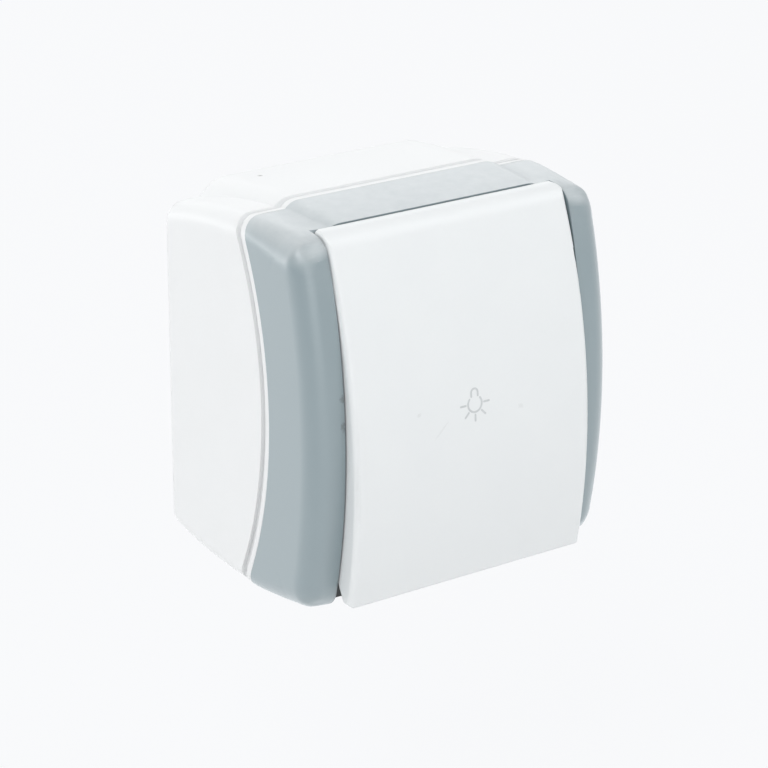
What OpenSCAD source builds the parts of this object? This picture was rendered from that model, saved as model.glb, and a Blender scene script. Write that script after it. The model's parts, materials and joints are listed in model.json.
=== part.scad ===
// Surface-mounted, splash-proof push-button switch.
// Origin: centre of the back face, on the wall plane. +Z up, the button faces -Y.
// "Depth" is the distance from the wall, so a point at depth d has y = -d.

/* [Case outline] */
// Width across the side faces
case_w = 66; // [62:0.5:74]
// Height across the shoulders where they are fullest
shoulder_h = 69.7; // [66:0.1:80]
// Corner radius seen from the front
corner_r = 5.5; // [3:0.1:7]
// Rise of the middle bands above the shoulders, peak to peak
band_rise = 1.15; // [0.6:0.05:2.5]
// Distance from the case's side to the flat top of a band
band_side = 12.8; // [11:0.1:18]
// Radius that rounds a band's edge
band_round_r = 6; // [3:0.5:8]
// Slope of a band's side below that radius, in degrees
band_slope = 40; // [25:1:60]

/* [Side curves] */
// Depth at which the shoulders are fullest
shoulder_peak = 23.6; // [20:0.1:28]
// Depth at which the bands are fullest
band_peak = 18.1; // [15:0.1:24]
// Side-view radius of the box's shoulders
box_bulge_r = 95; // [85:1:140]
// Side-view radius of the frame's shoulders
frame_bulge_r = 135; // [100:1:180]
// Side-view radius of the bands
band_bulge_r = 140; // [110:1:200]
// Side-view radius of the joint between box and frame
joint_r = 76; // [65:1:100]
// Side-view radius of the wings' front
wing_r = 116; // [100:1:150]

/* [Box] */
// Depth of the box at mid height, up to its joint with the frame
box_depth = 32.8; // [31:0.1:38]
// Wall thickness of box and frame
wall = 2.2; // [1.8:0.1:2.6]
// Thickness of the back plate
back_t = 2.5; // [2:0.1:4]
// Step from the frame's side down to the box's side
box_step = 0.3; // [0.1:0.05:0.6]
// Width of the rim lip at the joint
lip_w = 1.2; // [0.8:0.1:2]
// Step from the frame's side down to the lip
lip_step = 0.1; // [0:0.05:0.3]
// Width of the drip groove behind the lip
groove_w = 1.6; // [1:0.1:2.4]
// Depth of the drip groove below the box's side
groove_d = 0.7; // [0.4:0.1:1]
// Thickness of the tongue inside the rim
tongue_t = 1.2; // [1:0.1:1.5]
// How far the tongue stands past the joint
tongue_out = 2.8; // [2:0.1:4]
// Thickness of the rim gasket
gasket_t = 1.2; // [0.8:0.1:1.3]
// Distance from the lip's back edge to the gasket's ledge
ledge_set = 1; // [0.6:0.1:1.4]
// Thickness of the gasket's ledge
ledge_t = 1.2; // [1:0.1:1.6]
// How far the gasket stands past the joint
gasket_out = 1.5; // [1:0.1:2.2]

/* [Wall fixing and cable entry] */
// Distance between the two wall screws, up and down
wall_screw_pitch = 48; // [46:0.5:50]
// Width of a wall screw slot
slot_w = 4.4; // [3.6:0.1:5]
// Length of a wall screw slot
slot_l = 7; // [6:0.1:8]
// Radius of the hole for the cable grommet
entry_r = 5.4; // [4.6:0.1:6]
// Depth of the flat recess round that hole
entry_recess = 1; // [0.6:0.1:1]
// Wall of the raised ring inside the hole
entry_boss_t = 1.2; // [1:0.1:1.6]
// Height of that ring above the wall
entry_boss_h = 1.2; // [0.6:0.1:2]
// Radius of the cable hole in the grommet
cable_r = 3.5; // [2.5:0.1:3.8]
// Width of the grommet's outer flange beyond the hole
grommet_flange_w = 1.2; // [0.8:0.1:1.4]
// Thickness of the grommet's flanges
grommet_flange_t = 1; // [0.8:0.1:1]
// Length of the grommet's cone
grommet_cone_l = 4; // [3:0.1:6]

/* [Frame] */
// Depth of the frame at mid height, from the joint to the wings' front
frame_depth = 13.9; // [13:0.1:17]
// Radius along the wings' outer front edges
wing_edge_r = 4.4; // [3:0.1:6]
// Radius of the wings' top and bottom front edges
wing_tip_r = 4.5; // [2:0.1:5]
// Width of each wing
wing_w = 6.8; // [6.6:0.1:7.6]
// Thickness of a wing's inner wall
wing_inner_t = 1.6; // [1.2:0.1:1.7]
// Thickness of the floor behind the button
floor_t = 2.2; // [1.6:0.1:2.6]
// How far the floor's front lies behind the joint's apex
floor_set = 0.7; // [0.3:0.1:1.2]
// Distance from the shoulders' height to the pocket's roof and sill
pocket_wall = 2.05; // [1.8:0.05:2.4]
// How far the sill between the wings stands past the joint's apex
sill_out = 5.3; // [4:0.1:6.5]

/* [Button] */
// How far the button's fullest point stands in front of the wings
button_proud = 2.5; // [1.5:0.1:4]
// Height of the button's fullest point, below the middle
button_apex_z = -10.3; // [-14:0.1:-8]
// Side-view radius of the button's face
button_r = 115.6; // [105:0.1:140]
// How far the button's top lies below the shoulders' height
button_drop = 0.3; // [0.1:0.05:0.8]
// How far the button's bottom stays short of the shoulders' height
button_short = 2.3; // [1.8:0.1:3]
// Radius of the roll along the button's top, round the hinge
roll_r = 4.2; // [3.8:0.1:4.6]
// Radius of the button's side edges
button_edge_r = 1; // [0.6:0.1:2]
// Corner radius of the button seen from the front
button_corner_r = 1; // [0.6:0.1:2.5]
// Thickness of the button's face
button_face_t = 2; // [1.6:0.1:2.4]
// Thickness of the button's side skirts
skirt_t = 1.8; // [1.4:0.1:2]
// Height of the notch below the skirts
notch_rise = 3.95; // [3:0.05:5]
// Thickness of the finger lip at the bottom
lip_t = 1.6; // [1.2:0.1:2]
// Thickness of the lip's root, where the skirts end
lip_root_t = 4.4; // [3.6:0.1:5]
// Angle through which the button is pressed, in degrees
press_angle = 4; // [3:0.1:4]

/* [Hinge and stop] */
// Radius of the hinge pins on the button
hinge_r = 1.5; // [1.2:0.05:1.7]
// Length of a hinge pin beyond the skirt
hinge_pin_l = 2.6; // [2:0.1:2.8]
// Height of the stop pegs above the button's bottom
stop_rise = 8.6; // [8:0.1:12]
// How far the stop pegs stand past the joint's apex
stop_out = 7.3; // [7:0.1:7.6]
// Radius of the stop pegs
stop_r = 1.2; // [1:0.05:1.4]

/* [Plunger and boot] */
// Radius of the window in the frame's floor
window_r = 9; // [8.6:0.1:10]
// How far the plunger stands past the joint's apex
plunger_out = 4.9; // [4.4:0.1:5.4]
// Radius of the plunger's stem
stem_r = 2.8; // [2.4:0.1:3]
// Radius of the plunger's thin lower end
spigot_r = 2.2; // [1.8:0.1:2.2]
// Wall of the sealing boot
boot_t = 0.8; // [0.6:0.05:1]
// Radius of the plunger's flange
flange_r = 4.2; // [4:0.1:4.6]
// Thickness of the plunger's flange
flange_t = 1.2; // [0.9:0.1:1.4]
// Thickness of the boot's cap
boot_cap_t = 1.2; // [1:0.1:1.4]
// Thickness of the boot's back flange
boot_flange_t = 1.2; // [0.8:0.1:1.2]
// Thickness of the sealing sheet round the boot
sheet_t = 0.9; // [0.6:0.1:1.2]

/* [Mechanism] */
// Width and height of the mechanism's base
mech_w = 34; // [33:0.5:36]
// Depth of the base, without its cover
mech_depth = 15; // [14.6:0.1:15.4]
// Space between the back plate and the base
mech_gap = 2.5; // [2:0.1:3]
// Wall thickness of the base
mech_wall = 1.5; // [1.2:0.1:1.8]
// Thickness of the mechanism's cover
cover_t = 2; // [1.6:0.1:2.4]
// Length of the bush that guides the plunger, beyond the cover
bush_l = 3.2; // [2:0.1:4]
// Distance from the base's side to a mechanism screw
ear_out = 3.7; // [3.5:0.1:4.2]
// Radius of an ear round its screw
ear_r = 3.6; // [3.2:0.1:3.8]
// Thickness of an ear
ear_t = 2.5; // [2:0.1:3]
// Height of the ears above the base's back
ear_rise = 7; // [6:0.1:8]
// Width of the catches that hold the cover
catch_w = 4; // [3:0.1:5]
// Distance from the base's top to the catches' middle
catch_set = 9; // [6:0.1:12]

/* [Contacts and terminals] */
// Radius of a contact tip
tip_r = 1.6; // [1.3:0.1:1.8]
// Thickness of a contact tip
tip_t = 0.8; // [0.6:0.05:1]
// Gap between the open contacts
contact_gap = 1.75; // [1.7:0.05:2]
// How far the plunger can run on once the contacts meet
overtravel = 0.8; // [0.5:0.1:1.2]
// Thickness of the contact strips
strip_t = 0.8; // [0.6:0.05:1]
// Width of the contact strips
strip_w = 4; // [3.4:0.1:4.2]
// Height of the fixed strips above the base's floor
strip_rise = 2.4; // [2.1:0.1:2.7]
// How far a fixed strip reaches above the middle
strip_top = 3; // [2.4:0.1:4]
// Width of the contact bridge
bridge_w = 5.2; // [4.8:0.1:5.6]
// Width of a terminal cage
cage_w = 7; // [6.6:0.1:7.4]
// Height of a terminal cage
cage_h = 6; // [5:0.1:6.4]
// Wall of a terminal cage
cage_wall = 1.2; // [0.9:0.1:1.4]
// Depth of a terminal cage
cage_l = 8.6; // [8:0.1:9]
// Thickness of a cage's threaded front
cage_front_t = 2.8; // [2:0.1:3]
// Space between a cage and the base's side wall
cage_side = 2.5; // [2:0.1:3]
// Space between a cage and the base's lower wall
cage_end = 0.9; // [0.5:0.1:1.2]

/* [Springs] */
// Wire radius of the return spring
return_wire_r = 0.3; // [0.25:0.01:0.34]
// Coil radius of the return spring
return_coil_r = 3.1; // [3:0.05:3.3]
// Wire radius of the contact spring
contact_wire_r = 0.25; // [0.2:0.01:0.3]
// Coil radius of the contact spring
contact_coil_r = 3.5; // [3.3:0.05:3.7]

/* [Screws] */
// Shank radius of the frame screws
frame_screw_r = 1.5; // [1.3:0.05:1.7]
// Head radius of the frame screws
frame_head_r = 3.1; // [2.8:0.1:3.3]
// Length of the frame screws
frame_screw_l = 19; // [15:0.5:22]
// Radius of the posts that the frame screws go into
post_r = 3.8; // [3.2:0.1:4]
// Space between these posts and the mechanism
post_room = 2.7; // [1.5:0.1:3]
// Shank radius of the mechanism screws
mech_screw_r = 1.4; // [1.2:0.05:1.5]
// Length of the mechanism screws
mech_screw_l = 10; // [8:0.5:10.5]
// Head radius of the mechanism screws
mech_head_r = 2.6; // [2.3:0.1:2.8]
// Length of the terminal screws
terminal_screw_l = 4.9; // [4:0.1:5]
// Shank radius of the terminal screws
terminal_screw_r = 1.5; // [1.3:0.05:1.6]
// Head radius of the terminal screws
terminal_head_r = 2.5; // [2.3:0.1:2.6]

/* [Hidden] */
$fn = 96;

// Named clearances
touch_gap = 0.02;   // between faces that press on each other
seat_gap = 0.1;     // between faces that sit on each other
slip_gap = 0.3;     // between pieces that move past each other
run_gap = 0.06;     // round a pin or stem that turns or slides in its hole
thread_gap = 0.05;  // round a screw in its pilot hole
roll_tail = 0.4;    // flat left behind the button's roll
catch_back = 5;     // from the base's front to a catch's back
catch_front = 3.4;  // from the base's front to a catch's front
root = 0.3;         // how deep a rib or boss is rooted in its wall
far = 60;           // reach of a cutting tool past the case

// Outline worked out from the driving sizes
half_w = case_w / 2;
shoulder_half_h = shoulder_h / 2;
band_half_h = shoulder_half_h + band_rise;
band_half_w = half_w - band_side;
wing_depth = box_depth + frame_depth;
slot_half = half_w - wing_w;
button_half = slot_half - slip_gap;
pocket_h = shoulder_half_h - pocket_wall;
floor_front = box_depth - floor_set;
floor_back = floor_front - floor_t;
sheet_front = floor_front + seat_gap + sheet_t;
sill_depth = box_depth + sill_out;
joint_c = box_depth - joint_r;
wing_c = wing_depth - wing_r;

// Button curves, as [depth, height]; the hinge is at the middle of the roll
button_top = shoulder_half_h - button_drop;
button_bottom = button_short - shoulder_half_h;
notch_z = button_bottom + notch_rise;
button_c = [wing_depth + button_proud - button_r, button_apex_z];
roll_z = button_top - roll_r;
hinge_at = [button_c.x + sqrt(pow(button_r - roll_r, 2) - pow(roll_z - button_c.y, 2)), roll_z];
button_crown = hinge_at.x - roll_tail;
frame_brow = button_crown - slip_gap;
face_at_tip = face_depth(button_bottom);
skirt_back = sheet_front + slip_gap + (hinge_at.y - notch_z) * sin(press_angle);
stop_at = [box_depth + stop_out, button_bottom + stop_rise];
stop_pressed = turned(stop_at, press_angle);

// Cable entry, midway between the back plate and the gasket's ledge
joint_at_band = joint_c + sqrt(pow(joint_r, 2) - pow(band_half_h, 2));
entry_depth = (back_t + joint_at_band - lip_w - ledge_set - ledge_t) / 2;
entry_seat = entry_recess - band_half_h;
entry_boss_top = wall + entry_boss_h - band_half_h;

// Mechanism depths, worked forward from the back plate
base_back = back_t + mech_gap;
base_floor = base_back + mech_wall;
base_front = base_back + mech_depth;
cover_front = base_front + cover_t;
strip_depth = base_floor + strip_rise;
strip_front = strip_depth + strip_t;
fixed_tip_front = strip_front + tip_t;
bridge_tip_back = fixed_tip_front + contact_gap;
bridge_back = bridge_tip_back + tip_t;
bridge_front = bridge_back + strip_t;
clip_back = bridge_back - tip_t;
flange_front = base_front - slip_gap;
flange_back = flange_front - flange_t;
spigot_back = clip_back - 1.2;
shoulder_at = bridge_front + overtravel;
plunger_depth = box_depth + plunger_out;
boot_front = plunger_depth + seat_gap + boot_cap_t;
cap_out = stem_r + slip_gap + boot_t;
pusher_back = boot_front + slip_gap;
cage_back = base_floor + seat_gap;
cage_front = cage_back + cage_l;
ear_depth = base_back + ear_rise;

// Places across and up the mechanism
ear_x = mech_w / 2 + ear_out;
contact_x = mech_w / 2 - mech_wall - cage_side - cage_w / 2;
terminal_z = mech_wall + cage_end + cage_h / 2 - mech_w / 2;
catch_z = mech_w / 2 - catch_set;
frame_screw_x = button_half - skirt_t - frame_head_r - slip_gap;
frame_screw_z = mech_w / 2 + post_room + post_r;
pillar_r = ear_r - seat_gap;
frame_screw_end = floor_front + seat_gap - frame_screw_l;
mech_screw_end = ear_depth + ear_t + seat_gap - mech_screw_l;
terminal_screw_end = cage_front + 1.3 - terminal_screw_l;

white = [0.93, 0.94, 0.94];
grey = [0.66, 0.71, 0.73];
pale = [0.85, 0.86, 0.85];
brass = [0.80, 0.66, 0.36];
silver = [0.85, 0.85, 0.87];
steel = [0.68, 0.69, 0.71];
rubber = [0.20, 0.21, 0.22];

// Depth of the button's face at a height
function face_depth(z) = button_c.x + sqrt(pow(button_r, 2) - pow(z - button_c.y, 2));

// A side-view point turned about the hinge as the button is pressed
function turned(p, angle) =
    let (v = p - hinge_at)
    hinge_at + [v.x * cos(angle) + v.y * sin(angle), v.y * cos(angle) - v.x * sin(angle)];

// Crossing of two circles, on the right of the line from the first centre to the second
function crossing(c1, r1, c2, r2) =
    let (v = c2 - c1, l = norm(v), a = (r1 * r1 - r2 * r2 + l * l) / (2 * l),
         h = sqrt(r1 * r1 - a * a))
    c1 + v * (a / l) + [v.y, -v.x] * (h / l);

function toward(c, p, r) = c + (p - c) * (r / norm(p - c));

// Flat shapes are drawn as [depth, height] here and run across the case
module across(w) {
    rotate([90, 0, -90])
        linear_extrude(w, center = true)
            children();
}

// A block given by its width, height, back depth and front depth
module block(w, h, back, front, x = 0, z = 0) {
    translate([x - w / 2, -front, z - h / 2])
        cube([w, front - back, h]);
}

// A round bar along the depth
module bar(r, back, front, x = 0, z = 0) {
    translate([x, -back, z])
        rotate([90, 0, 0])
            cylinder(r = r, h = front - back);
}

// A round bar across the case
module cross_bar(r, from, to, at) {
    translate([from, -at.x, at.y])
        rotate([0, 90, 0])
            cylinder(r = r, h = to - from);
}

// A solid of revolution about a line that runs across the case at [depth, height]
module drum(at) {
    translate([0, -at.x, at.y])
        rotate([0, 90, 0])
            rotate_extrude()
                children();
}

// Drum section with rounded rims
module rounded_rim(r, half, edge_r) {
    translate([0, -half])
        square([r - edge_r, 2 * half]);
    translate([0, edge_r - half])
        square([r, 2 * (half - edge_r)]);
    for (side = [-1, 1])
        translate([r - edge_r, side * (half - edge_r)])
            circle(edge_r);
}

// Drum section of a band: flat top, rounded edges, sloping sides
module band_rim(r, half) {
    drop = 6;
    edge = [r - band_round_r * (1 - cos(band_slope)), half + band_round_r * sin(band_slope)];
    foot = [edge.x - drop, edge.y + drop / tan(band_slope)];
    for (side = [0, 1])
        mirror([0, side]) {
            polygon([[0, 0], [r, 0], [r, half], edge, foot, [0, foot.y]]);
            translate([r - band_round_r, half])
                circle(band_round_r);
        }
}

// The case's shoulders: two rounded drums that meet like a lens
module shoulders(bulge_r, inset) {
    intersection_for (side = [-1, 1])
        drum([shoulder_peak, side * (shoulder_half_h - bulge_r)])
            rounded_rim(bulge_r - inset, half_w - inset, max(corner_r - inset, 0.5));
}

// The raised bands at top and bottom
module bands(inset) {
    intersection_for (side = [-1, 1])
        drum([band_peak, side * (band_half_h - band_bulge_r)])
            band_rim(band_bulge_r - inset, band_half_w - inset / 2);
}

module case_form(bulge_r, inset) {
    shoulders(bulge_r, inset);
    bands(inset);
}

// Everything behind the curved joint, moved forward by "shift"
module behind_joint(shift) {
    cross_bar(joint_r + shift, -half_w - 2, half_w + 2, [joint_c, 0]);
}

// A band of the case's skin, between two insets and two distances from the joint
module rim_ring(outer, inner, from, to) {
    difference() {
        intersection() {
            case_form(box_bulge_r, outer);
            behind_joint(to);
        }
        case_form(box_bulge_r, inner);
        behind_joint(from);
    }
}

// Box

module box_shell() {
    difference() {
        intersection() {
            case_form(box_bulge_r, lip_step);
            behind_joint(0);
            block(2 * far, 2 * far, 0, far);
        }
        rim_ring(-1, box_step, -far, -lip_w - groove_w);
        rim_ring(-1, box_step + groove_d, -lip_w - groove_w, -lip_w);
        intersection() {
            case_form(box_bulge_r, wall);
            block(2 * far, 2 * far, back_t, far);
        }
    }
}

module rim_tongue() {
    gasket_room = gasket_t + 2 * seat_gap;
    ledge_at = -lip_w - ledge_set;
    rim_ring(wall - root, wall + gasket_room + tongue_t, ledge_at - ledge_t, ledge_at);
    rim_ring(wall + gasket_room, wall + gasket_room + tongue_t, ledge_at - ledge_t, tongue_out);
}

// Posts, pillars and ribs inside the box, and the ring round the cable entry
module box_inside() {
    rib_t = 1.2;
    rib_drop = 8;
    for (side = [-1, 1]) {
        bar(post_r, 0, floor_back - seat_gap, side * frame_screw_x, -side * frame_screw_z);
        block(half_w - frame_screw_x, rib_t, 0, floor_back - rib_drop,
              side * (half_w + frame_screw_x) / 2, -side * frame_screw_z);
        bar(pillar_r, 0, ear_depth - seat_gap, side * ear_x);
        block(half_w - ear_x, rib_t, 0, ear_depth - 2, side * (half_w + ear_x) / 2);
    }
    translate([0, -entry_depth, -far])
        cylinder(r = entry_r + entry_boss_t, h = far + entry_boss_top);
}

module back_box() {
    hole_extra = 1;
    color(white)
    difference() {
        union() {
            box_shell();
            rim_tongue();
            intersection() {
                box_inside();
                case_form(box_bulge_r, wall - root);
                block(2 * far, 2 * far, back_t - root, far);
            }
        }
        for (side = [-1, 1]) {
            bar(frame_screw_r + thread_gap, frame_screw_end - hole_extra, far,
                side * frame_screw_x, -side * frame_screw_z);
            bar(mech_screw_r + thread_gap, mech_screw_end - hole_extra, far, side * ear_x);
            wall_slot(side * wall_screw_pitch / 2);
        }
        // cable entry and the flat recess for its flange
        translate([0, -entry_depth, -far])
            cylinder(r = entry_r, h = far);
        translate([0, -entry_depth, -far])
            cylinder(r = entry_r + grommet_flange_w + slip_gap, h = far + entry_seat);
    }
}

// A slot through the back plate, along the height
module wall_slot(z) {
    run = (slot_l - slot_w) / 2;
    for (end = [-1, 1])
        bar(slot_w / 2, -1, back_t + 1, 0, z + end * run);
    block(slot_w, 2 * run, -1, back_t + 1, 0, z);
}

module cable_grommet() {
    flange_z = entry_seat - grommet_flange_t;
    neck_z = entry_boss_top + seat_gap;
    cone_z = neck_z + grommet_cone_l;
    lip = 1;
    color(rubber)
    translate([0, -entry_depth, 0])
        rotate_extrude()
            difference() {
                union() {
                    translate([0, flange_z])
                        square([entry_r + grommet_flange_w, grommet_flange_t - seat_gap]);
                    translate([0, flange_z])
                        square([entry_r - seat_gap, neck_z - flange_z + grommet_flange_t]);
                    translate([0, neck_z])
                        square([entry_r + 0.8, grommet_flange_t]);
                    polygon([[0, neck_z], [entry_r - lip, neck_z], [cable_r + lip, cone_z], [0, cone_z]]);
                }
                translate([0, -far])
                    square([cable_r, 2 * far]);
            }
}

module rim_gasket() {
    color(rubber)
        rim_ring(wall + seat_gap, wall + seat_gap + gasket_t, seat_gap - lip_w - ledge_set, gasket_out);
}

// Frame

// Side view of a wing: shoulder and front curves with their corners rounded
module wing_side(inset) {
    shoulder_c = [shoulder_peak, shoulder_half_h - frame_bulge_r];
    shoulder_r = frame_bulge_r - inset;
    front_c = [wing_c, 0];
    front_r = wing_r - inset;
    tip = crossing(shoulder_c, shoulder_r - wing_tip_r, front_c, front_r - wing_tip_r);
    on_top = toward(shoulder_c, tip, shoulder_r);
    on_front = toward(front_c, tip, front_r);
    beyond = tip + 2.5 * (on_top - tip + on_front - tip);
    difference() {
        translate(front_c)
            circle(front_r, $fn = 240);
        for (side = [0, 1])
            mirror([0, side])
                polygon([tip, on_top, beyond, on_front]);
    }
    for (side = [0, 1])
        mirror([0, side])
            translate(tip)
                circle(wing_tip_r);
}

module frame_form(inset) {
    intersection() {
        shoulders(frame_bulge_r, inset);
        drum([wing_c, 0])
            rounded_rim(wing_r - inset, half_w - inset, max(wing_edge_r - inset, 0.5));
        across(case_w + 4)
            wing_side(inset);
    }
    intersection() {
        bands(inset);
        cross_bar(wing_r - inset - 2, -half_w, half_w, [wing_c, 0]);
    }
}

module front_frame() {
    pocket_w = 2 * slot_half;
    inner_half = slot_half + wing_inner_t;
    socket_r = hinge_r + 1.4;
    socket_end = slot_half + hinge_pin_l + 0.9;
    color(grey)
    difference() {
        union() {
            difference() {
                frame_form(0);
                // hollow of the wings, and the space behind the floor
                intersection() {
                    frame_form(wall);
                    union() {
                        block(2 * far, 2 * far, 0, floor_back);
                        for (side = [-1, 1])
                            block(far, 2 * far, 0, far, side * (inner_half + far / 2));
                    }
                }
            }
            // bosses that hold the hinge sockets
            for (side = [-1, 1])
                cross_bar(socket_r, side > 0 ? slot_half : -socket_end,
                          side > 0 ? socket_end : -slot_half, hinge_at);
        }
        behind_joint(seat_gap);
        // pocket for the button, open in front and below
        block(pocket_w, 2 * pocket_h, floor_front, far);
        block(pocket_w, far, frame_brow, far, 0, far / 2);
        block(pocket_w, far, sill_depth, far, 0, -far / 2);
        // window for the boot, and the frame screws' holes
        bar(window_r, 0, far);
        for (side = [-1, 1]) {
            bar(frame_screw_r + slip_gap, 0, far, side * frame_screw_x, -side * frame_screw_z);
            // hinge sockets
            cross_bar(hinge_r + run_gap, side > 0 ? 0 : -slot_half - hinge_pin_l,
                      side > 0 ? slot_half + hinge_pin_l : 0, hinge_at);
            // slots that the stop pegs run in
            stop_slot(side);
        }
    }
}

module stop_slot(side) {
    r = stop_r + slip_gap;
    from = side > 0 ? 0 : -slot_half - wing_inner_t - 1;
    to = side > 0 ? slot_half + wing_inner_t + 1 : 0;
    cross_bar(r, from, to, stop_at);
    cross_bar(r, from, to, stop_pressed);
    block(to - from, 2 * r, stop_pressed.x, stop_at.x, (from + to) / 2, (stop_at.y + stop_pressed.y) / 2);
}

module frame_screw(side) {
    head_t = 2;
    x = side * frame_screw_x;
    z = -side * frame_screw_z;
    front = floor_front + seat_gap;
    color(steel)
    difference() {
        union() {
            bar(frame_screw_r, frame_screw_end, front + root, x, z);
            bar(frame_head_r, front, front + head_t, x, z);
        }
        cross_slot(x, z, front + head_t, frame_head_r);
    }
}

module frame_screw_upper() {
    frame_screw(-1);
}

module frame_screw_lower() {
    frame_screw(1);
}

// Cross recess in a screw head of a given radius
module cross_slot(x, z, front, head_r) {
    span = 1.1 * head_r;
    blade = 0.27 * head_r;
    deep = 0.37 * head_r;
    block(span, blade, front - deep, front + 1, x, z);
    block(blade, span, front - deep, front + 1, x, z);
}

// Button

// Side view of the button's outer face with its rolled top
module button_face() {
    on_face = toward(button_c, hinge_at, button_r);
    above = button_top + 1;
    difference() {
        translate(button_c)
            circle(button_r);
        translate([-far, button_top])
            square([4 * far, far]);
        polygon([hinge_at, [hinge_at.x, above], [on_face.x + roll_r, above], on_face]);
    }
    translate(hinge_at)
        circle(roll_r);
}

// Side view of the hollow behind the face
module button_hollow() {
    difference() {
        translate(button_c)
            circle(button_r - button_face_t);
        translate([-far, button_top - button_face_t])
            square([4 * far, far]);
        translate([-far, button_bottom + lip_t - 2 * far])
            square([4 * far, 2 * far]);
    }
}

// Side view of the skirts: all that lies in front of their back edge
module skirt_side() {
    top = button_top - button_face_t;
    eye = hinge_r + 1.3;
    back = hinge_at.x - eye;
    polygon([[button_crown, far], [button_crown, top], [button_crown - 0.6, top],
             [back, hinge_at.y + hinge_r / 2], [back, hinge_at.y - eye],
             [skirt_back, notch_z], [face_depth(notch_z) - lip_root_t, notch_z],
             [face_at_tip - lip_t, button_bottom], [far, button_bottom], [far, far]]);
}

module button() {
    inner = button_half - skirt_t;
    rib_t = 1.4;
    rib_reach = 12;
    rib_back = pusher_back + 2.5;
    pin_end = button_half + hinge_pin_l - slip_gap;
    peg_end = slot_half + wing_inner_t - slip_gap;
    color(white)
    difference() {
        union() {
            intersection() {
                across(2 * button_half)
                    intersection() {
                        button_face();
                        skirt_side();
                    }
                drum(button_c)
                    rounded_rim(button_r, button_half, button_edge_r);
                button_outline();
            }
            for (side = [0, 1])
                mirror([side, 0, 0]) {
                    cross_bar(hinge_r, inner + root, pin_end, hinge_at);
                    cross_bar(stop_r, inner + root, peg_end, stop_at);
                }
        }
        // hollow behind the face, round the pusher and the ribs that carry it
        difference() {
            across(2 * inner)
                button_hollow();
            bar(cap_out - slip_gap, pusher_back, far);
            block(2 * button_half, rib_t, rib_back, far);
            block(rib_t, 2 * rib_reach, rib_back, far);
        }
    }
}

// Front view of the button with rounded corners
module button_outline() {
    r = button_corner_r;
    w = button_half;
    translate([0, far, 0])
        rotate([90, 0, 0])
            linear_extrude(3 * far)
                union() {
                    translate([-w, button_bottom + r])
                        square([2 * w, button_top - button_bottom - 2 * r]);
                    translate([r - w, button_bottom])
                        square([2 * (w - r), button_top - button_bottom]);
                    for (x = [r - w, w - r], z = [button_bottom + r, button_top - r])
                        translate([x, z])
                            circle(r);
                }
}

// Rubber boot over the plunger, with the sheet that lines the pocket
module sealing_boot() {
    neck_r = window_r - seat_gap;
    neck_in = neck_r - 1;
    cap_in = stem_r + slip_gap;
    back_face = floor_back - seat_gap - boot_flange_t;
    cap_back = boot_front - boot_cap_t;
    rise = 2;
    color(rubber) {
        rotate([90, 0, 0])
            rotate_extrude()
                union() {
                    translate([neck_in, back_face])
                        square([2.2, boot_flange_t]);
                    translate([neck_in, back_face])
                        square([neck_r - neck_in, sheet_front - back_face]);
                    // sloping wall and cap
                    polygon([[neck_in, sheet_front - sheet_t], [neck_in + 0.5, sheet_front],
                             [cap_out, sheet_front + rise], [cap_out, boot_front], [0, boot_front],
                             [0, cap_back], [cap_in, cap_back], [cap_in, sheet_front + rise - 1]]);
                }
        difference() {
            union() {
                sealing_sheet();
                sealing_apron();
            }
            bar(neck_in + 0.2, 0, far);
            for (side = [-1, 1])
                bar(frame_head_r + slip_gap, 0, far, side * frame_screw_x, -side * frame_screw_z);
        }
    }
}

// Sheet on the pocket's floor
module sealing_sheet() {
    w = 2 * (slot_half - seat_gap);
    block(w, 2 * (pocket_h - seat_gap), floor_front + seat_gap, sheet_front);
}

// Apron that lies on the sill and turns down over its edge
module sealing_apron() {
    w = 2 * (slot_half - seat_gap);
    top = sheet_t + seat_gap - pocket_h;
    turn_down = 1;
    drop = sheet_t + seat_gap + turn_down;
    front = sill_depth + seat_gap + sheet_t;
    block(w, sheet_t, floor_front + seat_gap, front, 0, top - sheet_t / 2);
    block(w, drop, front - sheet_t, front, 0, top - drop / 2);
}

// Mechanism

module mechanism_base() {
    inside = mech_w - 2 * mech_wall;
    ledge_w = strip_w + 1;
    ledge_low = terminal_z + cage_h / 2 + 1;
    barrier_t = 1.2;
    barrier_set = 4;
    pip_h = 1.7;
    wire_r = 1.9;
    color(pale)
    difference() {
        union() {
            difference() {
                block(mech_w, mech_w, base_back, base_front);
                block(inside, inside, base_floor, far);
            }
            for (side = [-1, 1]) {
                // ledges under the fixed strips
                block(ledge_w, strip_top - ledge_low, base_floor - root, strip_depth - seat_gap,
                      side * contact_x, (strip_top + ledge_low) / 2);
                ear(side);
            }
            // barrier between the terminals, and the pip that centres the spring
            block(barrier_t, cage_h + 2, base_floor - root, base_front - barrier_set, 0, terminal_z);
            bar(return_coil_r - return_wire_r - slip_gap, base_floor - root, base_floor + pip_h);
        }
        for (side = [-1, 1]) {
            bar(mech_screw_r + slip_gap, 0, far, side * ear_x);
            // wire entries in the lower wall
            translate([side * contact_x, -(cage_back + cage_wall + wire_r + 1), -mech_w / 2 - 1])
                cylinder(r = wire_r, h = mech_wall + 2);
            // windows for the cover's catches
            block(2 * mech_wall + 1, catch_w + 2 * slip_gap, base_front - catch_back - slip_gap,
                  base_front - catch_front + slip_gap, side * (mech_w / 2), catch_z);
        }
    }
}

module ear(side) {
    start = mech_w / 2 - root;
    bar(ear_r, ear_depth, ear_depth + ear_t, side * ear_x);
    block(ear_x - start, 2 * ear_r, ear_depth, ear_depth + ear_t, side * (ear_x + start) / 2);
}

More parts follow.
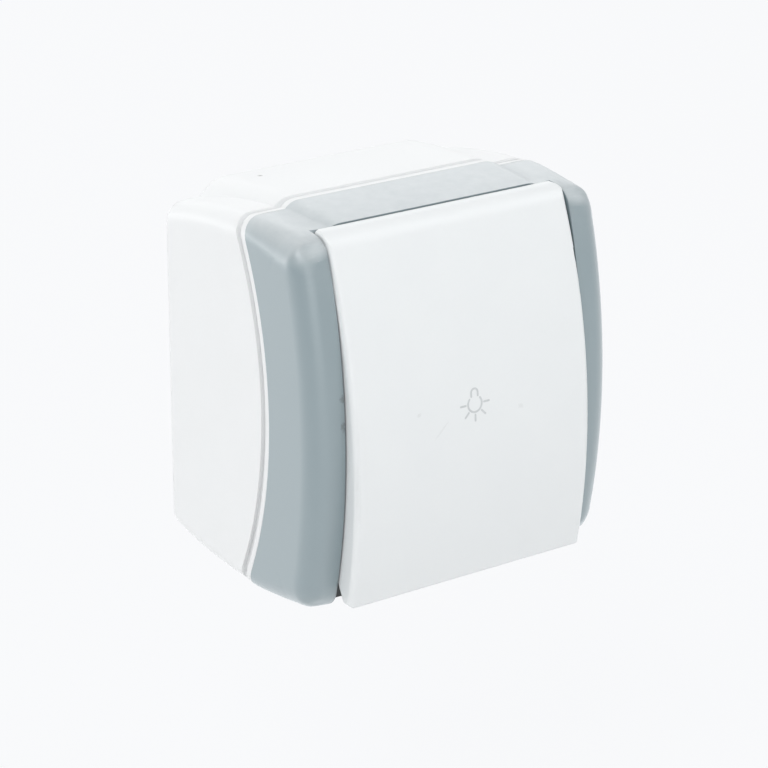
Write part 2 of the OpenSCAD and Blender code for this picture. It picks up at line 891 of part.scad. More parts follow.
module mechanism_cover() {
    leg_x = mech_w / 2 - mech_wall - seat_gap;
    leg_t = 1;
    bush_t = 1.6;
    color(grey)
    difference() {
        union() {
            block(mech_w, mech_w, base_front + seat_gap, cover_front);
            bar(stem_r + run_gap + bush_t, base_front + seat_gap, cover_front + bush_l);
            for (side = [-1, 1]) {
                // snap legs and their catches
                block(leg_t, catch_w, base_front - catch_back, base_front + 1,
                      side * (leg_x - leg_t / 2), catch_z);
                block(leg_t, catch_w, base_front - catch_back, base_front - catch_front,
                      side * (leg_x + root), catch_z);
            }
        }
        bar(stem_r + run_gap, 0, far);
        for (side = [-1, 1])
            bar(terminal_head_r + slip_gap, 0, far, side * contact_x, terminal_z);
    }
}

module mechanism_screw(side) {
    head_t = 1.8;
    front = ear_depth + ear_t + seat_gap;
    color(steel)
    difference() {
        union() {
            bar(mech_screw_r, mech_screw_end, front + root, side * ear_x);
            bar(mech_head_r, front, front + head_t, side * ear_x);
        }
        cross_slot(side * ear_x, 0, front + head_t, mech_head_r);
    }
}

module mechanism_screw_left() {
    mechanism_screw(-1);
}

module mechanism_screw_right() {
    mechanism_screw(1);
}

module plunger() {
    color([0.30, 0.45, 0.62]) {
        bar(spigot_r, spigot_back, shoulder_at + root);
        bar(stem_r, shoulder_at, plunger_depth);
        bar(flange_r, flange_back, flange_front);
    }
}

module plunger_clip() {
    color(steel)
    difference() {
        bar(return_coil_r + return_wire_r + slip_gap, clip_back, bridge_back - seat_gap);
        bar(spigot_r + thread_gap, 0, far);
    }
}

module contact_bridge() {
    color(brass)
    difference() {
        union() {
            block(2 * contact_x, bridge_w, bridge_back, bridge_front);
            for (side = [-1, 1])
                bar(bridge_w / 2, bridge_back, bridge_front, side * contact_x);
        }
        bar(spigot_r + run_gap, 0, far);
    }
}

module bridge_tips() {
    color(silver)
        for (side = [-1, 1])
            bar(tip_r, bridge_tip_back, bridge_back - touch_gap, side * contact_x);
}

module fixed_tips() {
    color(silver)
        for (side = [-1, 1])
            bar(tip_r, strip_front + touch_gap, fixed_tip_front, side * contact_x);
}

module fixed_contact(side) {
    bottom = terminal_z - cage_h / 2 + 0.6;
    color(brass)
        block(strip_w, strip_top - bottom, strip_depth, strip_front, side * contact_x,
              (strip_top + bottom) / 2);
}

module fixed_contact_left() {
    fixed_contact(-1);
}

module fixed_contact_right() {
    fixed_contact(1);
}

module terminal_cage(side) {
    x = side * contact_x;
    color(brass)
    difference() {
        block(cage_w, cage_h, cage_back, cage_front, x, terminal_z);
        block(cage_w - 2 * cage_wall, cage_h + 1, cage_back + cage_wall, cage_front - cage_front_t,
              x, terminal_z);
        bar(terminal_screw_r + thread_gap, cage_back + cage_wall, far, x, terminal_z);
    }
}

module terminal_cage_left() {
    terminal_cage(-1);
}

module terminal_cage_right() {
    terminal_cage(1);
}

module terminal_screw(side) {
    x = side * contact_x;
    head_back = cage_front + 1;
    head_front = head_back + 1.7;
    slot_t = 0.8;
    color(steel)
    difference() {
        union() {
            bar(terminal_screw_r, terminal_screw_end, head_back + root, x, terminal_z);
            bar(terminal_head_r, head_back, head_front, x, terminal_z);
        }
        block(2 * terminal_head_r + 1, slot_t, head_front - slot_t, far, x, terminal_z);
    }
}

module terminal_screw_left() {
    terminal_screw(-1);
}

module terminal_screw_right() {
    terminal_screw(1);
}

// A coil spring along the depth, swept as one closed skin
module coil(coil_r, wire_r, back, front, turns) {
    sides = 8;
    steps = 18;
    rings = turns * steps;
    run = front - back - 2 * wire_r;
    // end turns lie flat, the turns between them rise evenly
    function rise(k) = run * min(max((k / steps - 0.75) / (turns - 1.5), 0), 1);
    function ring(k) =
        let (a = 360 * k / steps)
        [for (s = [0 : sides - 1])
            let (b = 360 * s / sides, r = coil_r + wire_r * cos(b))
            [r * cos(a), r * sin(a), wire_r + rise(k) + wire_r * sin(b)]];
    points = [for (k = [0 : rings]) each ring(k)];
    skin = [for (k = [0 : rings - 1], s = [0 : sides - 1])
        let (n = (s + 1) % sides)
        [k * sides + s, k * sides + n, (k + 1) * sides + n, (k + 1) * sides + s]];
    first = [for (s = [0 : sides - 1]) sides - 1 - s];
    last = [for (s = [0 : sides - 1]) rings * sides + s];
    translate([0, -back, 0])
        rotate([90, 0, 0])
            polyhedron(points, concat(skin, [first, last]));
}

module return_spring() {
    color(steel)
        coil(return_coil_r, return_wire_r, base_floor + touch_gap, clip_back - touch_gap, 4);
}

module contact_spring() {
    color(steel)
        coil(contact_coil_r, contact_wire_r, bridge_front + touch_gap, flange_back - touch_gap, 5);
}

back_box();
cable_grommet();
rim_gasket();
front_frame();
frame_screw_upper();
frame_screw_lower();
button();
sealing_boot();
mechanism_base();
mechanism_cover();
mechanism_screw_left();
mechanism_screw_right();
plunger();
plunger_clip();
contact_bridge();
bridge_tips();
contact_spring();
return_spring();
fixed_contact_left();
fixed_contact_right();
fixed_tips();
terminal_cage_left();
terminal_cage_right();
terminal_screw_left();
terminal_screw_right();
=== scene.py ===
import json
import math

import bmesh
import bpy
from mathutils import Matrix, Vector
from mathutils.bvhtree import BVHTree


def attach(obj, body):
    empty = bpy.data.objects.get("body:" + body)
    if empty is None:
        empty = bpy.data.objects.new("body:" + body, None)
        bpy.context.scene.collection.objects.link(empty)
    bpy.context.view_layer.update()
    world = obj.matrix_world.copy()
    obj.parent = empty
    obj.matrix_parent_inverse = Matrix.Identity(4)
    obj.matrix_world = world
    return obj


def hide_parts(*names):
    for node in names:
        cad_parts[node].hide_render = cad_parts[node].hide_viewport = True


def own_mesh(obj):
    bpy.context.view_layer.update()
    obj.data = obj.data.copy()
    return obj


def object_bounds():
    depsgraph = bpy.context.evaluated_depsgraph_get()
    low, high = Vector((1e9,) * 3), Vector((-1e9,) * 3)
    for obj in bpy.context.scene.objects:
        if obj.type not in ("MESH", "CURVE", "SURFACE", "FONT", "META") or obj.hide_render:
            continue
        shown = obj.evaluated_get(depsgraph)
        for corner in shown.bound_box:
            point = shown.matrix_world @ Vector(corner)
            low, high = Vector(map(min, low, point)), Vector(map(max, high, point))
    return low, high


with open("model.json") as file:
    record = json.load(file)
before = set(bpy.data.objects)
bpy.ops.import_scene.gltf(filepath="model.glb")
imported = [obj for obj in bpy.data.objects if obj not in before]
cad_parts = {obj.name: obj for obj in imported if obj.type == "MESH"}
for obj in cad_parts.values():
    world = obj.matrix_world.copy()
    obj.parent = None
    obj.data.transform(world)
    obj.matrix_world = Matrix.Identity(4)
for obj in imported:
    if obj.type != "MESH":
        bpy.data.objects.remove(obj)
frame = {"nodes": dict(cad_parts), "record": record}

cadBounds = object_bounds()
mm = 0.001
nodes = frame["nodes"]
print("stage: frame loaded,", len(nodes), "nodes")


# Small helpers for shader trees

def addNode(tree, kind, **settings):
    node = tree.nodes.new(kind)
    for name, value in settings.items():
        setattr(node, name, value)
    return node


def feed(tree, value, socket):
    # a socket is linked, a plain number or colour is set
    if isinstance(value, bpy.types.NodeSocket):
        tree.links.new(value, socket)
    else:
        socket.default_value = value


def calc(tree, operation, a, b=0.0, clamp=False):
    node = addNode(tree, "ShaderNodeMath", operation=operation, use_clamp=clamp)
    feed(tree, a, node.inputs[0])
    feed(tree, b, node.inputs[1])
    return node.outputs[0]


def blendColours(tree, amount, first, second):
    node = addNode(tree, "ShaderNodeMix", data_type="RGBA")
    feed(tree, amount, node.inputs["Factor"])
    feed(tree, first, node.inputs[6])
    feed(tree, second, node.inputs[7])
    return node.outputs[2]


def remap(tree, value, fromLow, fromHigh, toLow=0.0, toHigh=1.0):
    node = addNode(tree, "ShaderNodeMapRange", clamp=True)
    feed(tree, value, node.inputs["Value"])
    for name, number in zip(("From Min", "From Max", "To Min", "To Max"), (fromLow, fromHigh, toLow, toHigh)):
        feed(tree, number, node.inputs[name])
    return node.outputs["Result"]


def noise(tree, place, scale, detail=3.0, roughness=0.5):
    node = addNode(tree, "ShaderNodeTexNoise")
    feed(tree, place, node.inputs["Vector"])
    feed(tree, scale, node.inputs["Scale"])
    feed(tree, detail, node.inputs["Detail"])
    feed(tree, roughness, node.inputs["Roughness"])
    return node.outputs["Fac"]


def newGroup(name, inputs, outputs):
    group = bpy.data.node_groups.new(name, "ShaderNodeTree")
    for label, value in inputs.items():
        socket = group.interface.new_socket(name=label, in_out="INPUT", socket_type="NodeSocketFloat")
        socket.default_value = value
    for label in outputs:
        group.interface.new_socket(name=label, in_out="OUTPUT", socket_type="NodeSocketFloat")
    return group, group.nodes.new("NodeGroupInput").outputs, group.nodes.new("NodeGroupOutput").inputs


def placeGroup(tree, group, **values):
    node = addNode(tree, "ShaderNodeGroup", node_tree=group)
    for label, value in values.items():
        feed(tree, value, node.inputs[label])
    return node.outputs


# Effects that several materials share

def makeGrain():
    # spark-eroded mould texture: fine pits over a soft unevenness
    group, given, out = newGroup("mouldGrain", {"Grain Scale": 2500.0, "Swell Scale": 120.0}, ["Height", "Tone"])
    place = addNode(group, "ShaderNodeTexCoord").outputs["Object"]
    pits = noise(group, place, given["Grain Scale"], 2.0, 0.6)
    swell = noise(group, place, given["Swell Scale"], 2.0, 0.4)
    group.links.new(calc(group, "ADD", calc(group, "MULTIPLY", pits, 0.35), swell), out["Height"])
    group.links.new(calc(group, "ADD", calc(group, "MULTIPLY", pits, 0.4), calc(group, "MULTIPLY", swell, 0.6)), out["Tone"])
    return group


def makeEdgeWear():
    # finds edges by comparing the flat normal with one rounded over a small radius
    group, given, out = newGroup("edgeWear", {"Radius": 0.0004, "Breakup": 0.5}, ["Mask"])
    rounded = addNode(group, "ShaderNodeBevel", samples=6)
    group.links.new(given["Radius"], rounded.inputs["Radius"])
    flat = addNode(group, "ShaderNodeNewGeometry").outputs["Normal"]
    dot = addNode(group, "ShaderNodeVectorMath", operation="DOT_PRODUCT")
    group.links.new(rounded.outputs[0], dot.inputs[0])
    group.links.new(flat, dot.inputs[1])
    edge = remap(group, dot.outputs["Value"], 0.995, 0.86)
    place = addNode(group, "ShaderNodeTexCoord").outputs["Object"]
    broken = remap(group, noise(group, place, 900.0, 4.0, 0.6), 0.35, 0.65)
    kept = calc(group, "SUBTRACT", 1.0, calc(group, "MULTIPLY", given["Breakup"], broken))
    group.links.new(calc(group, "MULTIPLY", edge, kept, True), out["Mask"])
    return group


def makeDustAndPaintedLight():
    # dust on what faces up, which on the frame also carries painted top light; painted shade in the narrow gaps, where
    # ambient occlusion finds them closed in
    group, given, out = newGroup("dustAndPaintedLight", {"Reach": 0.002}, ["Settled", "Crevice Painted Shade"])
    facing = addNode(group, "ShaderNodeNewGeometry").outputs["Normal"]
    split = addNode(group, "ShaderNodeSeparateXYZ")
    group.links.new(facing, split.inputs[0])
    place = addNode(group, "ShaderNodeTexCoord").outputs["Object"]
    patch = remap(group, noise(group, place, 420.0, 4.0, 0.6), 0.3, 0.7, 0.8, 1.0)
    # what faces up: dust on the box and button, painted top light on the frame
    group.links.new(calc(group, "MULTIPLY", remap(group, split.outputs["Z"], 0.2, 0.9), patch), out["Settled"])
    # painted shade: 1 where ambient occlusion finds the surface closed in, broken up by noise
    closed = addNode(group, "ShaderNodeAmbientOcclusion", samples=8)
    group.links.new(given["Reach"], closed.inputs["Distance"])
    dark = calc(group, "SUBTRACT", 1.0, closed.outputs["AO"], True)
    group.links.new(calc(group, "MULTIPLY", dark, remap(group, noise(group, place, 500.0), 0.2, 0.7, 0.5, 1.0)), out["Crevice Painted Shade"])
    return group


def makeScuffs():
    # sparse hairlines in two directions
    group, given, out = newGroup("scuffs", {"Density": 0.3}, ["Mask"])
    place = addNode(group, "ShaderNodeTexCoord").outputs["Object"]
    found = 0.0
    for turn, stretch in ((0.5, (70.0, 250.0, 7000.0)), (-0.8, (90.0, 250.0, 6000.0))):
        rotate = addNode(group, "ShaderNodeVectorRotate", rotation_type="Y_AXIS")
        group.links.new(place, rotate.inputs["Vector"])
        rotate.inputs["Angle"].default_value = turn
        long = addNode(group, "ShaderNodeVectorMath", operation="MULTIPLY")
        group.links.new(rotate.outputs[0], long.inputs[0])
        long.inputs[1].default_value = stretch
        line = remap(group, noise(group, long.outputs[0], 1.0, 0.0), 0.76, 0.80)
        area = remap(group, noise(group, place, 70.0 + 20.0 * turn, 1.0), 0.52, 0.62)
        found = calc(group, "ADD", found, calc(group, "MULTIPLY", line, area), True)
    group.links.new(calc(group, "MULTIPLY", found, given["Density"]), out["Mask"])
    return group


def makeMark():
    # one small mark: a broken-up ellipse at a place, long along a direction in the front view
    group, given, out = newGroup("mark", {"X": 0.0, "Y": 0.0, "Z": 0.0, "Long": 0.001, "Short": 0.001, "Turn": 0.0}, ["Mask"])
    place = addNode(group, "ShaderNodeTexCoord").outputs["Object"]
    centre = addNode(group, "ShaderNodeCombineXYZ")
    size = addNode(group, "ShaderNodeCombineXYZ")
    for label, part in zip("XYZ", ("Long", "Long", "Short")):
        group.links.new(given[label], centre.inputs[label])
        group.links.new(given[part], size.inputs[label])
    away = addNode(group, "ShaderNodeVectorMath", operation="SUBTRACT")
    group.links.new(place, away.inputs[0])
    group.links.new(centre.outputs[0], away.inputs[1])
    rotate = addNode(group, "ShaderNodeVectorRotate", rotation_type="Y_AXIS")
    group.links.new(away.outputs[0], rotate.inputs["Vector"])
    group.links.new(given["Turn"], rotate.inputs["Angle"])
    share = addNode(group, "ShaderNodeVectorMath", operation="DIVIDE")
    group.links.new(rotate.outputs[0], share.inputs[0])
    group.links.new(size.outputs[0], share.inputs[1])
    reach = addNode(group, "ShaderNodeVectorMath", operation="LENGTH")
    group.links.new(share.outputs[0], reach.inputs[0])
    uneven = remap(group, noise(group, place, 1800.0, 3.0, 0.6), 0.3, 0.7, -0.35, 0.35)
    body = remap(group, calc(group, "ADD", reach.outputs["Value"], uneven), 1.0, 0.45)
    group.links.new(body, out["Mask"])
    return group


def makeBrushing():
    # fine lines left by drawing, stamping or turning
    group, given, out = newGroup("brushing", {"Line Scale": 9000.0}, ["Height", "Tone"])
    place = addNode(group, "ShaderNodeTexCoord").outputs["Object"]
    long = addNode(group, "ShaderNodeVectorMath", operation="MULTIPLY")
    group.links.new(place, long.inputs[0])
    long.inputs[1].default_value = (1.0, 0.06, 1.0)
    lines = noise(group, long.outputs[0], given["Line Scale"], 3.0, 0.6)
    group.links.new(lines, out["Height"])
    group.links.new(calc(group, "ADD", calc(group, "MULTIPLY", lines, 0.6),
                         calc(group, "MULTIPLY", noise(group, place, 400.0), 0.4)), out["Tone"])
    return group


grainGroup = makeGrain()
wearGroup = makeEdgeWear()
dustAndPaintedLightGroup = makeDustAndPaintedLight()
scuffGroup = makeScuffs()
markGroup = makeMark()
brushGroup = makeBrushing()
print("stage: shared effects made")


# Finishes, one dictionary each. Colours are linear.
# grime in each finish is the strength of the painted shade laid into narrow gaps
finishes = {
    "box_plastic": dict(colour=(0.80, 0.81, 0.815), shade=(0.785, 0.797, 0.80), rough=0.42, roughSpread=0.05,
                        grain=2400.0, swell=90.0, bump=0.015, edge=0.35, edgeTint=(0.86, 0.865, 0.87),
                        dustAndPaintedLight=0.06, dustAndTopLightTint=(0.70, 0.69, 0.66), crevicePaintedShade=0.25, scuff=0.03, softEdge=0.3,
                        specular=0.3),
    "button_plastic": dict(colour=(0.795, 0.815, 0.82), shade=(0.782, 0.803, 0.81), rough=0.42, roughSpread=0.05,
                           grain=2400.0, swell=90.0, bump=0.012, edge=0.3, edgeTint=(0.86, 0.87, 0.875),
                           dustAndPaintedLight=0.04, dustAndTopLightTint=(0.70, 0.69, 0.66), crevicePaintedShade=0.25, scuff=0.04, softEdge=0.35,
                           specular=0.4),
    # the frame's large settled amount, in a pale tint of its own hue, is painted top light on what faces up
    "frame_plastic": dict(colour=(0.186, 0.246, 0.268), shade=(0.177, 0.236, 0.258), rough=0.50, roughSpread=0.06,
                          coat=1.0, coatRough=0.42, coatIor=1.8, grain=2600.0, swell=110.0, bump=0.02, edge=0.4,
                          edgeTint=(0.29, 0.35, 0.38), dustAndPaintedLight=0.75, dustAndTopLightTint=(0.54, 0.57, 0.58), crevicePaintedShade=0.4,
                          scuff=0.04, softEdge=0.3, cornerEdge=2.4),
    "soft_rubber": dict(colour=(0.020, 0.026, 0.027), shade=(0.014, 0.018, 0.019), rough=0.62, roughSpread=0.12,
                        grain=1800.0, swell=160.0, bump=0.06, edge=0.4, edgeTint=(0.05, 0.055, 0.058),
                        dustAndPaintedLight=0.25, dustAndTopLightTint=(0.16, 0.16, 0.15), crevicePaintedShade=0.2, scuff=0.0),
    "base_plastic": dict(colour=(0.70, 0.69, 0.65), shade=(0.66, 0.65, 0.61), rough=0.48, roughSpread=0.08,
                         grain=2200.0, swell=150.0, bump=0.05, edge=0.4, edgeTint=(0.78, 0.77, 0.74),
                         dustAndPaintedLight=0.08, dustAndTopLightTint=(0.5, 0.48, 0.44), crevicePaintedShade=0.4, scuff=0.03),
    "cover_plastic": dict(colour=(0.30, 0.32, 0.33), shade=(0.27, 0.29, 0.30), rough=0.45, roughSpread=0.08,
                          grain=2200.0, swell=150.0, bump=0.05, edge=0.4, edgeTint=(0.42, 0.44, 0.45),
                          dustAndPaintedLight=0.08, dustAndTopLightTint=(0.4, 0.4, 0.38), crevicePaintedShade=0.4, scuff=0.03),
    "plunger_plastic": dict(colour=(0.07, 0.13, 0.22), shade=(0.06, 0.11, 0.19), rough=0.36, roughSpread=0.06,
                            grain=2600.0, swell=200.0, bump=0.03, edge=0.4, edgeTint=(0.16, 0.23, 0.33),
                            dustAndPaintedLight=0.05, dustAndTopLightTint=(0.3, 0.3, 0.28), crevicePaintedShade=0.3, scuff=0.03),
    "contact_brass": dict(colour=(0.76, 0.56, 0.25), shade=(0.62, 0.43, 0.17), rough=0.28, roughSpread=0.16,
                          metal=1.0, brush=7000.0, bump=0.05, edge=0.6, edgeTint=(0.92, 0.78, 0.48),
                          dustAndPaintedLight=0.04, dustAndTopLightTint=(0.4, 0.3, 0.16), crevicePaintedShade=0.5, scuff=0.05),
    "contact_silver": dict(colour=(0.84, 0.84, 0.85), shade=(0.66, 0.64, 0.60), rough=0.30, roughSpread=0.14,
                           metal=1.0, brush=9000.0, bump=0.04, edge=0.5, edgeTint=(0.95, 0.95, 0.96),
                           dustAndPaintedLight=0.03, dustAndTopLightTint=(0.3, 0.28, 0.25), crevicePaintedShade=0.5, scuff=0.03),
    "screw_steel": dict(colour=(0.60, 0.61, 0.64), shade=(0.48, 0.50, 0.54), rough=0.30, roughSpread=0.14,
                        metal=1.0, brush=8000.0, bump=0.06, edge=0.7, edgeTint=(0.85, 0.86, 0.88),
                        dustAndPaintedLight=0.05, dustAndTopLightTint=(0.3, 0.28, 0.25), crevicePaintedShade=0.6, scuff=0.05),
    "spring_steel": dict(colour=(0.56, 0.56, 0.58), shade=(0.42, 0.42, 0.44), rough=0.26, roughSpread=0.12,
                         metal=1.0, brush=12000.0, bump=0.03, edge=0.4, edgeTint=(0.8, 0.8, 0.82),
                         dustAndPaintedLight=0.03, dustAndTopLightTint=(0.3, 0.28, 0.25), crevicePaintedShade=0.5, scuff=0.0),
}


# Where a wing's shoulder, side and front meet, in mm, with the signs left off
wingCorner = (31.5, 41.5, 32.3)

# Marks seen in the photo, in mm: place, half length, half width, turn in degrees, strength and tint
marks = {
    "box_plastic": [dict(at=(-16.3, -5.6, 35.4), long=0.62, short=0.62, turn=0, strength=1.0, tint=(0.22, 0.21, 0.19))],
    "button_plastic": [
        dict(at=(-12.2, -48.6, 1.3), long=0.7, short=0.35, turn=20, strength=0.16, tint=(0.42, 0.43, 0.42)),
        dict(at=(-7.5, -48.9, -2.6), long=2.6, short=0.22, turn=42, strength=0.12, tint=(0.42, 0.43, 0.42)),
        dict(at=(10.2, -48.9, -1.7), long=0.8, short=0.5, turn=-30, strength=0.14, tint=(0.42, 0.43, 0.42)),
    ],
    "frame_plastic": [
        dict(at=(-26.6, -45.8, 6.6), long=0.9, short=0.7, turn=90, strength=0.6, tint=(0.05, 0.06, 0.06)),
        dict(at=(-26.6, -46.0, 1.6), long=1.0, short=0.7, turn=90, strength=0.6, tint=(0.05, 0.06, 0.06)),
    ],
}


def opaque(colour):
    return (*colour, 1.0)


def roundedNormal(tree, look):
    # edges look rounded, and the wings' outer corners more than the rest
    rounded = addNode(tree, "ShaderNodeBevel", samples=8)
    if "cornerEdge" not in look:
        rounded.inputs["Radius"].default_value = look.get("softEdge", 0.2) * mm
        return rounded.outputs[0]
    place = addNode(tree, "ShaderNodeTexCoord").outputs["Object"]
    folded = addNode(tree, "ShaderNodeVectorMath", operation="ABSOLUTE")
    tree.links.new(place, folded.inputs[0])
    away = addNode(tree, "ShaderNodeVectorMath", operation="DISTANCE")
    tree.links.new(folded.outputs[0], away.inputs[0])
    away.inputs[1].default_value = tuple(c * mm for c in wingCorner)
    near = remap(tree, away.outputs["Value"], 7.5 * mm, 4.0 * mm, look["softEdge"] * mm, look["cornerEdge"] * mm)
    tree.links.new(near, rounded.inputs["Radius"])
    return rounded.outputs[0]


def makeFinish(name, look):
    material = bpy.data.materials.new(name)
    material.use_nodes = True
    tree = material.node_tree
    surface = tree.nodes["Principled BSDF"]
    if "brush" in look:
        texture = placeGroup(tree, brushGroup, **{"Line Scale": look["brush"]})
        surface.inputs["Metallic"].default_value = look["metal"]
    else:
        texture = placeGroup(tree, grainGroup, **{"Grain Scale": look["grain"], "Swell Scale": look["swell"]})
    wear = placeGroup(tree, wearGroup, Radius=0.35 * mm, Breakup=0.6)["Mask"]
    dustAndPaintedLightMasks = placeGroup(tree, dustAndPaintedLightGroup, Reach=1.5 * mm)
    scuffs = placeGroup(tree, scuffGroup, Density=look["scuff"])["Mask"]
    colour = blendColours(tree, remap(tree, texture["Tone"], 0.35, 0.65), opaque(look["shade"]), opaque(look["colour"]))
    colour = blendColours(tree, calc(tree, "MULTIPLY", wear, look["edge"]), colour, opaque(look["edgeTint"]))
    # what faces up gets dust, and on the frame painted top light
    colour = blendColours(tree, calc(tree, "MULTIPLY", dustAndPaintedLightMasks["Settled"], look["dustAndPaintedLight"]), colour, opaque(look["dustAndTopLightTint"]))
    # painted shade: the finish's own colour at 0.45, laid into the gaps by the occlusion mask
    paintedShadeTint = tuple(0.45 * c for c in look["colour"])
    colour = blendColours(tree, calc(tree, "MULTIPLY", dustAndPaintedLightMasks["Crevice Painted Shade"], look["crevicePaintedShade"]), colour, opaque(paintedShadeTint))
    colour = blendColours(tree, scuffs, colour, opaque(tuple(0.8 * c for c in look["colour"])))
    for mark in marks.get(name, []):
        x, y, z = (c * mm for c in mark["at"])
        spot = placeGroup(tree, markGroup, X=x, Y=y, Z=z, Long=mark["long"] * mm, Short=mark["short"] * mm,
                          Turn=math.radians(mark["turn"]))["Mask"]
        colour = blendColours(tree, calc(tree, "MULTIPLY", spot, mark["strength"]), colour, opaque(mark["tint"]))
    rough = remap(tree, texture["Tone"], 0.3, 0.7, look["rough"] - look["roughSpread"], look["rough"] + look["roughSpread"])
    rough = calc(tree, "ADD", rough, calc(tree, "MULTIPLY", dustAndPaintedLightMasks["Settled"], 0.2 * look["dustAndPaintedLight"]), True)
    tree.links.new(colour, surface.inputs["Base Color"])
    tree.links.new(rough, surface.inputs["Roughness"])
    surface.inputs["Specular IOR Level"].default_value = look.get("specular", 0.5)
    if "coat" in look:
        surface.inputs["Coat Weight"].default_value = look["coat"]
        surface.inputs["Coat Roughness"].default_value = look["coatRough"]
        surface.inputs["Coat IOR"].default_value = look["coatIor"]
    relief = addNode(tree, "ShaderNodeBump")
    relief.inputs["Strength"].default_value = 1.0
    relief.inputs["Distance"].default_value = look["bump"] * mm
    height = calc(tree, "SUBTRACT", texture["Height"], calc(tree, "MULTIPLY", scuffs, 2.0))
    tree.links.new(height, relief.inputs["Height"])
    tree.links.new(roundedNormal(tree, look), relief.inputs["Normal"])
    tree.links.new(relief.outputs[0], surface.inputs["Normal"])
    return material


materials = {name: makeFinish(name, look) for name, look in finishes.items()}
for part in frame["record"]["subparts"]:
    data = nodes[part["node"]].data
    data.materials.clear()
    data.materials.append(materials[part["material_slot"]])
print("stage: finishes made and given to the nodes")


# The box and frame fitted closer to the photo: tighter corners, and wings fullest a little below the middle.
# Depth is counted forward from the wall, in mm.
fittedForm = {
    "halfWidth": 33.0,
    "shoulderHeight": 34.85,        # half the height beside the bands
    "shoulderPeak": 23.6,           # depth at which the shoulders are highest
    "bulge": {"back_box": 95.0, "front_frame": 135.0},
    "cornerRadius": (5.5, 3.7),     # in the solids, and as fitted
    "frontCorner": (5.2, 27.0, 39.0),   # fitted radius at the frame's front, and the depths it grows between
    "edgeRadius": (4.4, 3.8),       # along the wings' outer front edges
    "wingFront": (46.7, 46.4),      # fullest depth of the wings
    "wingRadius": (116.0, 124.0),
    "wingApex": (0.0, -3.4),        # height of the fullest point
    "slotHalf": 26.2,               # half the width between the wings
    "frontZone": (17.0, 6.5),       # how far behind the front the fitting fades in
    "socket": (37.32, 30.35, 3.2),  # hinge socket that stays put: depth, height, radius
    "slot": (34.0, 42.4, -24.0, 2.4),   # stop slots that stay put: from and to depth, height, half height
    "innerEnd": 29.9,               # how far out the sockets and slots reach
    "ball": 4.4,                    # radius that rounds each wing's outer corners
    "ballReach": 8.0,               # how far from its centre the mesh is made finer
    "fineEdge": 0.6,
    "skinDepth": 3.3,               # what lies closer to the centre is the wing's inside
    "smoothReach": 7.0,
    "smoothRounds": 10,
}


def tighten(across, up, before, after):
    # moves a point in a rounded corner outwards, from one corner radius to a smaller one
    if across <= 0 or up <= 0:
        return across, up
    length, slack = math.hypot(across, up), before - after
    c, s = across / length, up / length
    along = slack * (c + s)
    reach = along + math.sqrt(max(along * along - 2 * slack * slack + after * after, 0.0))
    if s * before / c <= slack:
        reach = before / c
    elif c * before / s <= slack:
        reach = before / s
    return across * reach / before, up * reach / before


def frontDepth(look, which, height):
    radius = look["wingRadius"][which]
    return look["wingFront"][which] - radius + math.sqrt(radius ** 2 - (height - look["wingApex"][which]) ** 2)


def fitPoint(look, node, point):
    x, depth, z = point[0] / mm, -point[1] / mm, point[2] / mm
    side, top = math.copysign(1, x), math.copysign(1, z)
    if node == "front_frame":
        # outer front edges, measured about the wings' own centre
        before, after = look["edgeRadius"]
        centre = look["wingFront"][0] - look["wingRadius"][0]
        ring = math.hypot(depth - centre, z)
        grownX, grownRing = tighten(abs(x) - look["halfWidth"] + before, ring - look["wingRadius"][0] + before, before, after)
        if grownX > 0 and ring > look["wingRadius"][0] - before:
            x = side * (look["halfWidth"] - before + grownX)
            scale = (look["wingRadius"][0] - before + grownRing) / ring
            depth, z = centre + (depth - centre) * scale, z * scale
    # shoulder corners, measured about the shoulder's centre
    before, after = look["cornerRadius"]
    if node == "front_frame":
        frontRadius, start, end = look["frontCorner"]
        after += (frontRadius - after) * min(max((depth - start) / (end - start), 0.0), 1.0)
    bulge = look["bulge"][node]
    centre = look["shoulderHeight"] - bulge
    ring = math.hypot(depth - look["shoulderPeak"], abs(z) - centre)
    out, up = abs(x) - look["halfWidth"] + before, ring - bulge + before
    if out > 0 and up > 0:
        grownX, grownRing = tighten(out, up, before, after)
        x = side * (look["halfWidth"] - before + grownX)
        scale = (bulge - before + grownRing) / ring
        depth = max(look["shoulderPeak"] + (depth - look["shoulderPeak"]) * scale, 0)
        z = top * (centre + (abs(z) - centre) * scale)
    if node == "front_frame" and abs(x) > look["slotHalf"] - 0.05:
        socketDepth, socketHeight, socketRadius = look["socket"]
        behind = frontDepth(look, 0, z) - depth
        far, near = look["frontZone"]
        slotFrom, slotTo, slotHeight, slotHalf = look["slot"]
        inSocket = math.hypot(depth - socketDepth, z - socketHeight) < socketRadius
        inSlot = slotFrom < depth < slotTo and abs(z - slotHeight) < slotHalf
        kept = abs(x) < look["innerEnd"] and (inSocket or inSlot)
        if behind < far and not kept:
            share = min((far - behind) / (far - near), 1.0)
            share = share * share * (3 - 2 * share)
            depth += share * (frontDepth(look, 1, z) - frontDepth(look, 0, z))
    return Vector((x * mm, -depth * mm, z * mm))


def ballCentre(look, top):
    # touches the wing's side, shoulder and front from inside, with the signs left off
    ball = look["ball"]
    bulge, front = look["bulge"]["front_frame"], look["wingRadius"][1]
    a = Vector((look["shoulderPeak"], look["shoulderHeight"] - bulge))
    b = Vector((look["wingFront"][1] - front, top * look["wingApex"][1]))
    ra, rb = bulge - ball, front - ball
    gap = b - a
    along = (ra * ra - rb * rb + gap.length_squared) / (2 * gap.length)
    off = math.sqrt(ra * ra - along * along)
    unit = gap.normalized()
    centre = a + unit * along + Vector((unit.y, -unit.x)) * off
    return look["halfWidth"] - ball, centre, (centre - a).normalized(), (centre - b).normalized()


def dropFlaps(mesh):
    # pairs of faces on the same three vertices are flaps left by merged slivers
    found = {}
    for face in mesh.faces:
        found.setdefault(frozenset(face.verts), []).append(face)
    flaps = [face for faces in found.values() for face in faces[len(faces) % 2:]]
    bmesh.ops.delete(mesh, geom=flaps, context="FACES")


